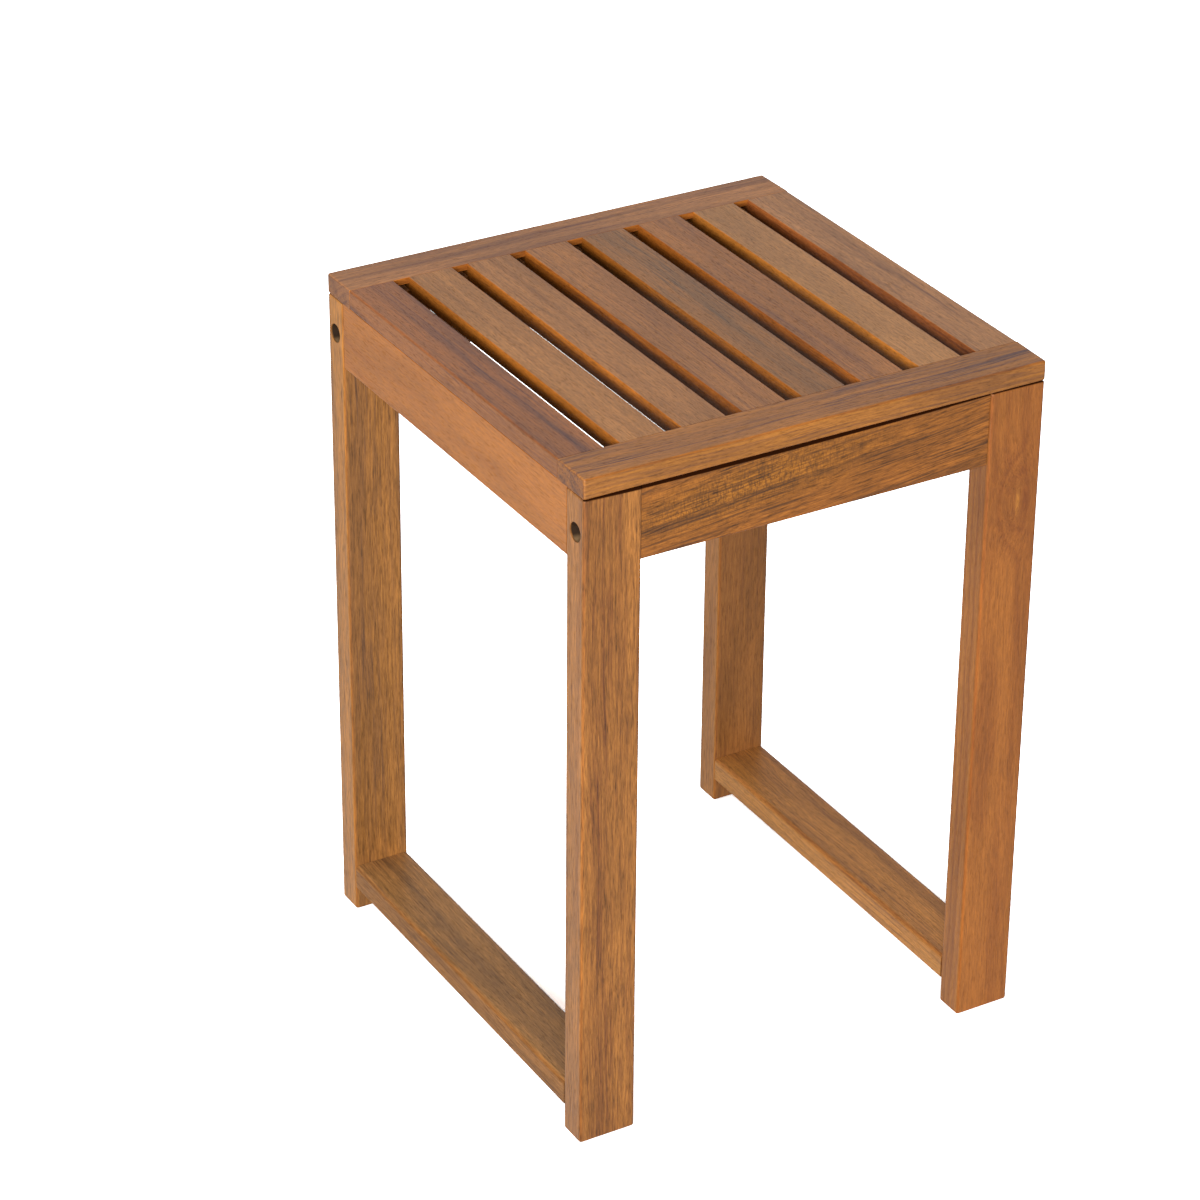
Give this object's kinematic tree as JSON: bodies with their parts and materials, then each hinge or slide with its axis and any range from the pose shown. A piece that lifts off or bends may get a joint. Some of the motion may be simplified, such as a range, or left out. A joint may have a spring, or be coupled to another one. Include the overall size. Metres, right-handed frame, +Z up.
{
  "type": "bathroom stool",
  "caption": "Square backless bathroom stool in oiled acacia, with a slatted seat, straight legs, an apron all round and a low rung at each side",
  "frame": {"origin": "On the floor under the middle of the seat.", "axes": "X runs to the right along the front rail, Y to the back along the slats, Z up."},
  "size_m": [0.312, 0.314, 0.45],
  "materials": {
    "oiled_acacia": "oiled, satin",
    "zinc_plated_steel": "zinc plated",
    "beech_dowel": "raw beech"
  },
  "bodies": {
    "root": {"front_rail": "oiled_acacia", "rear_rail": "oiled_acacia", "left_edge_slat": "oiled_acacia", "right_edge_slat": "oiled_acacia", "slat_2": "oiled_acacia", "slat_3": "oiled_acacia", "slat_4": "oiled_acacia", "slat_5": "oiled_acacia", "slat_6": "oiled_acacia", "slat_7": "oiled_acacia", "front_left_leg": "oiled_acacia", "front_right_leg": "oiled_acacia", "rear_left_leg": "oiled_acacia", "rear_right_leg": "oiled_acacia", "front_apron": "oiled_acacia", "rear_apron": "oiled_acacia", "left_apron": "oiled_acacia", "right_apron": "oiled_acacia", "left_rung": "oiled_acacia", "right_rung": "oiled_acacia", "connector_bolts": "zinc_plated_steel", "barrel_nuts": "zinc_plated_steel", "top_screws": "zinc_plated_steel", "apron_dowels": "beech_dowel"}
  },
  "joints": []
}
